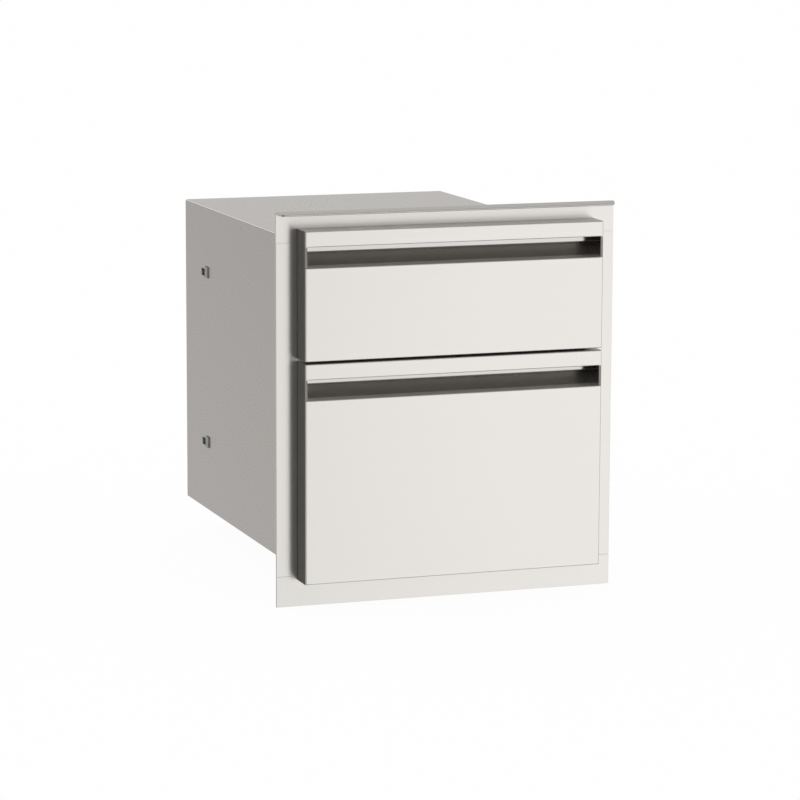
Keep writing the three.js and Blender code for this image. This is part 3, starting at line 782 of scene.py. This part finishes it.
recess_floor, recess_mouth = 0.8, 3.0
recess_wide, recess_thick = 1.9, 0.45
fastener_ease, pad_ease = 0.08, 0.05
screw_profile = ([(-1.7, 2.0), (0.0, 2.0), (0.0, 3.6), (0.25, 4.0)]
                 + [(0.5 + 1.5 * math.sin(a), 1.2 + 2.8 * math.cos(a))
                    for a in [math.radians(10 * i) for i in range(10)]])
screw = turned("screw", screw_profile)
for across, up in ((recess_thick, recess_wide), (recess_wide, recess_thick)):
    worked(screw, [block(recess_floor, recess_mouth, -across, across, -up, up)], "DIFFERENCE")
eased(screw, fastener_ease, 2, 40)
rivet_out = opening_half - inner_half + slide_sheet
rivet = turned("rivet", [(-rivet_out - 0.8, 3.2), (-rivet_out - 0.5, 3.8), (-rivet_out, 4.0),
                         (-rivet_out, 2.0), (0.0, 2.0), (0.0, 4.0), (0.35, 3.8), (0.62, 3.2),
                         (0.76, 2.2), (0.8, 1.0)])
eased(rivet, fastener_ease, 2, 40)
pad = turned("pad", [(0.0, 2.8), (0.15, 3.0), (0.6, 3.0), (0.82, 2.8), (0.9, 2.4)])
eased(pad, pad_ease, 2, 60)

black_rubber = bpy.data.materials.new("black rubber")
black_rubber.use_nodes = True
nodes, links = black_rubber.node_tree.nodes, black_rubber.node_tree.links
shader = nodes["Principled BSDF"]
shader.inputs["Specular IOR Level"].default_value = 0.35
place = nodes.new("ShaderNodeTexCoord")
speckle = nodes.new("ShaderNodeTexNoise")
speckle.inputs["Scale"].default_value = 2500
links.new(place.outputs["Object"], speckle.inputs["Vector"])
dust = nodes.new("ShaderNodeValToRGB")
dust.color_ramp.elements[0].color = (0.009, 0.009, 0.009, 1)
dust.color_ramp.elements[1].color = (0.022, 0.022, 0.022, 1)
links.new(speckle.outputs["Fac"], dust.inputs["Fac"])
links.new(dust.outputs["Color"], shader.inputs["Base Color"])
matt = nodes.new("ShaderNodeMapRange")
matt.inputs["To Min"].default_value = 0.65
matt.inputs["To Max"].default_value = 0.85
links.new(speckle.outputs["Fac"], matt.inputs["Value"])
links.new(matt.outputs["Result"], shader.inputs["Roughness"])

for drawer, height in slide_heights.items():
    inner = box_half - box_sheet
    starts = [(-inner, screw_lines[0], height), (inner, screw_lines[0], height)]
    screws = grown(f"{drawer}_drawer_screws", starts, fastener_tree, {
        "Fastener": screw, "Count": 2, "Spacing": MM * (screw_lines[1] - screw_lines[0]),
        "Finish": bright_steel}, [(0, 0, 0), (0, 0, math.pi)])
    fitted(screws, bright_steel, "bright_steel", f"{drawer}_drawer",
           *[f"{drawer}_{name}_drawer_screw_{end}" for name in hands for end in ("front", "rear")])

starts = [(side * opening_half, rivet_setback, height)
          for height in slide_heights.values() for side in (-1, 1)]
rivets = grown("cabinet_rivets", starts, fastener_tree, {
    "Fastener": rivet, "Count": 1, "Spacing": 0.0, "Finish": bright_steel},
    [(0, 0, math.pi), (0, 0, 0)] * 2)
fitted(rivets, bright_steel, "bright_steel", "cabinet",
       *[f"{drawer}_{name}_cabinet_rivet" for drawer in slide_heights for name in hands])

pad_nodes = [f"{drawer}_{name}_bumper_pad" for drawer in slide_heights for name in hands]
starts = []
for node in pad_nodes:
    lowest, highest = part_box(node)
    centre = 500 * (lowest + highest)
    starts.append((centre.x, 1000 * highest.y, centre.z))
pads = grown("bumper_pads", starts, fastener_tree, {
    "Fastener": pad, "Count": 1, "Spacing": 0.0, "Finish": black_rubber},
    [(0, 0, -math.pi / 2)] * len(starts))
fitted(pads, black_rubber, "pad_rubber", "cabinet", *pad_nodes)

for template in (screw, rivet, pad):
    bpy.data.meshes.remove(template.data)


# Floor and studio. A plain white floor under the unit and a surround, both of which the camera sees
# as white. Steel mirrors the surround with soft shading: brightest low at the front right, dark at
# the front left, mid grey elsewhere, with a light at the back left for the fold of the housing.
floor_size = 40.0
floor_gap = 0.2
floor_glow = 0.965
even_level, level_below, level_above = 0.166, 0.294, 0.352
slab = bmesh.new()
corners = [slab.verts.new((x * floor_size, y * floor_size, MM * (sill - floor_gap)))
           for x, y in ((-1, -1), (1, -1), (1, 1), (-1, 1))]
slab.faces.new(corners)
studio_floor = placed("studio_floor", slab)
studio_floor.visible_glossy = False
floor_white = bpy.data.materials.new("studio floor white")
floor_white.use_nodes = True
nodes, links = floor_white.node_tree.nodes, floor_white.node_tree.links
shader = nodes["Principled BSDF"]
shader.inputs["Base Color"].default_value = (0.9, 0.9, 0.9, 1)
shader.inputs["Roughness"].default_value = 0.9
glow = nodes.new("ShaderNodeEmission")
glow.inputs["Strength"].default_value = 1.0
seen = nodes.new("ShaderNodeLightPath")
much = nodes.new("ShaderNodeMath")
much.operation = "MULTIPLY"
much.inputs[1].default_value = floor_glow
links.new(seen.outputs["Is Camera Ray"], much.inputs[0])
blend = nodes.new("ShaderNodeMixShader")
links.new(much.outputs["Value"], blend.inputs["Fac"])
links.new(shader.outputs["BSDF"], blend.inputs[1])
links.new(glow.outputs["Emission"], blend.inputs[2])
links.new(blend.outputs["Shader"], nodes["Material Output"].inputs["Surface"])
studio_floor.data.materials.append(floor_white)
studio_floor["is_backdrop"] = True

studio = bpy.data.worlds.new("studio")
bpy.context.scene.world = studio
studio.use_nodes = True
nodes, links = studio.node_tree.nodes, studio.node_tree.links
nodes.clear()
direction = nodes.new("ShaderNodeTexCoord")


def added(value, low, high, amount, earlier):
    """Adds light, or shade if the amount is negative, where a value rises from low to high."""
    span = nodes.new("ShaderNodeMapRange")
    span.interpolation_type = "SMOOTHSTEP"
    span.inputs["From Min"].default_value = low
    span.inputs["From Max"].default_value = high
    span.inputs["To Max"].default_value = amount
    links.new(value, span.inputs["Value"])
    total = nodes.new("ShaderNodeMath")
    total.operation = "ADD"
    links.new(earlier, total.inputs[0])
    links.new(span.outputs["Result"], total.inputs[1])
    return total.outputs["Value"]


def patch(azimuth, elevation, inner, outer, squash, amount, earlier):
    """A soft patch of light or shade, full within the inner angle and gone at the outer one. The
    azimuth runs to the right from straight ahead of the fronts, angles are in degrees, and squash is
    how many times wider than high the patch is."""
    a = math.radians(azimuth)
    lift = nodes.new("ShaderNodeVectorMath")
    lift.operation = "SUBTRACT"
    lift.inputs[1].default_value = (0, 0, math.sin(math.radians(elevation)))
    links.new(direction.outputs["Generated"], lift.inputs[0])
    press = nodes.new("ShaderNodeVectorMath")
    press.operation = "MULTIPLY"
    press.inputs[1].default_value = (1, 1, squash)
    links.new(lift.outputs["Vector"], press.inputs[0])
    unit = nodes.new("ShaderNodeVectorMath")
    unit.operation = "NORMALIZE"
    links.new(press.outputs["Vector"], unit.inputs[0])
    dot = nodes.new("ShaderNodeVectorMath")
    dot.operation = "DOT_PRODUCT"
    dot.inputs[1].default_value = (math.sin(a), -math.cos(a), 0)
    links.new(unit.outputs["Vector"], dot.inputs[0])
    return added(dot.outputs["Value"], math.cos(math.radians(outer)), math.cos(math.radians(inner)),
                 amount, earlier)


plain = nodes.new("ShaderNodeValue")
plain.outputs[0].default_value = even_level
split = nodes.new("ShaderNodeSeparateXYZ")
links.new(direction.outputs["Generated"], split.inputs["Vector"])
surround = added(split.outputs["Z"], -0.25, -0.75, level_below, plain.outputs[0])
surround = added(split.outputs["Z"], 0.15, 0.6, level_above, surround)
for spot in [
    (30, -4, 8, 28, 1.5, 1.31),
    (-170, 19, 3, 14, 1.0, 1.25),
    (20, -32, 8, 30, 1.6, 0.99),
    (160, 14, 8, 30, 1.0, 0.54),
    (-65, -5, 15, 36, 1.0, 0.38),
    (-122, 0, 12, 34, 1.0, 0.37),
    (180, -25, 10, 45, 1.0, 0.34),
    (50, -14, 15, 50, 1.6, 0.31),
    (20, -10, 3, 12, 2.0, 0.3),
    (105, -5, 15, 50, 1.0, 0.28),
    (30, -18, 4, 16, 1.0, -0.26),
    (-160, -10, 8, 40, 1.0, 0.2),
    (-95, 0, 15, 45, 1.0, 0.2),
    (115, -5, 20, 45, 1.0, 0.19),
    (-20, -9, 9, 22, 1.0, -0.17),
    (0, -6, 3, 14, 1.0, 0.16),
    (-174, -16, 3, 16, 1.0, 0.15),
    (22, 12, 6, 24, 1.5, 0.11),
    (178, 14, 6, 22, 1.0, -0.07),
    (70, 5, 10, 35, 1.0, 0.05),
    (0, -6, 8, 24, 1.0, 0.05),
]:
    surround = patch(*spot, surround)
seen = nodes.new("ShaderNodeLightPath")
mirrored = nodes.new("ShaderNodeMath")
mirrored.operation = "MAXIMUM"
links.new(seen.outputs["Is Glossy Ray"], mirrored.inputs[0])
links.new(seen.outputs["Is Transmission Ray"], mirrored.inputs[1])
lamp = nodes.new("ShaderNodeBackground")
lamp.inputs["Color"].default_value = (1, 1, 1, 1)
lamp.inputs["Strength"].default_value = 1.0
picture = nodes.new("ShaderNodeBackground")
links.new(surround, picture.inputs["Strength"])
white = nodes.new("ShaderNodeBackground")
white.inputs["Color"].default_value = (1, 1, 1, 1)
white.inputs["Strength"].default_value = 1.0
lit = nodes.new("ShaderNodeMixShader")
links.new(mirrored.outputs["Value"], lit.inputs["Fac"])
links.new(lamp.outputs["Background"], lit.inputs[1])
links.new(picture.outputs["Background"], lit.inputs[2])
whole = nodes.new("ShaderNodeMixShader")
links.new(seen.outputs["Is Camera Ray"], whole.inputs["Fac"])
links.new(lit.outputs["Shader"], whole.inputs[1])
links.new(white.outputs["Background"], whole.inputs[2])
out = nodes.new("ShaderNodeOutputWorld")
links.new(whole.outputs["Shader"], out.inputs["Surface"])


# Camera. A long lens from the front left and a little above. Its focal length is given in pixels of
# a picture 800 pixels wide, and its tilt turns the picture about its own middle.
azimuth, elevation, tilt = math.radians(-19.3377), math.radians(9.5068), math.radians(0.2179)
target = MM * Vector((-56.1349, -3.0, 213.3683))
distance = 3.8321009
focal_pixels, picture_pixels, sensor = 3375.0485, 800, 36
away = Vector((math.sin(azimuth) * math.cos(elevation), -math.cos(azimuth) * math.cos(elevation),
               math.sin(elevation)))
right = (-away).cross(Vector((0, 0, 1))).normalized()
up = right.cross(-away)
turn_right = math.cos(tilt) * right + math.sin(tilt) * up
turn_up = -math.sin(tilt) * right + math.cos(tilt) * up
lens = bpy.data.cameras.new("camera")
lens.lens = focal_pixels / picture_pixels * sensor
lens.sensor_width = sensor
camera = bpy.data.objects.new("camera", lens)
bpy.context.scene.collection.objects.link(camera)
camera.matrix_world = Matrix.Translation(target + away * distance) @ Matrix(
    (turn_right, turn_up, away)).transposed().to_4x4()
bpy.context.scene.camera = camera
bpy.context.scene.view_settings.view_transform = "Standard"

low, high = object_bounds()
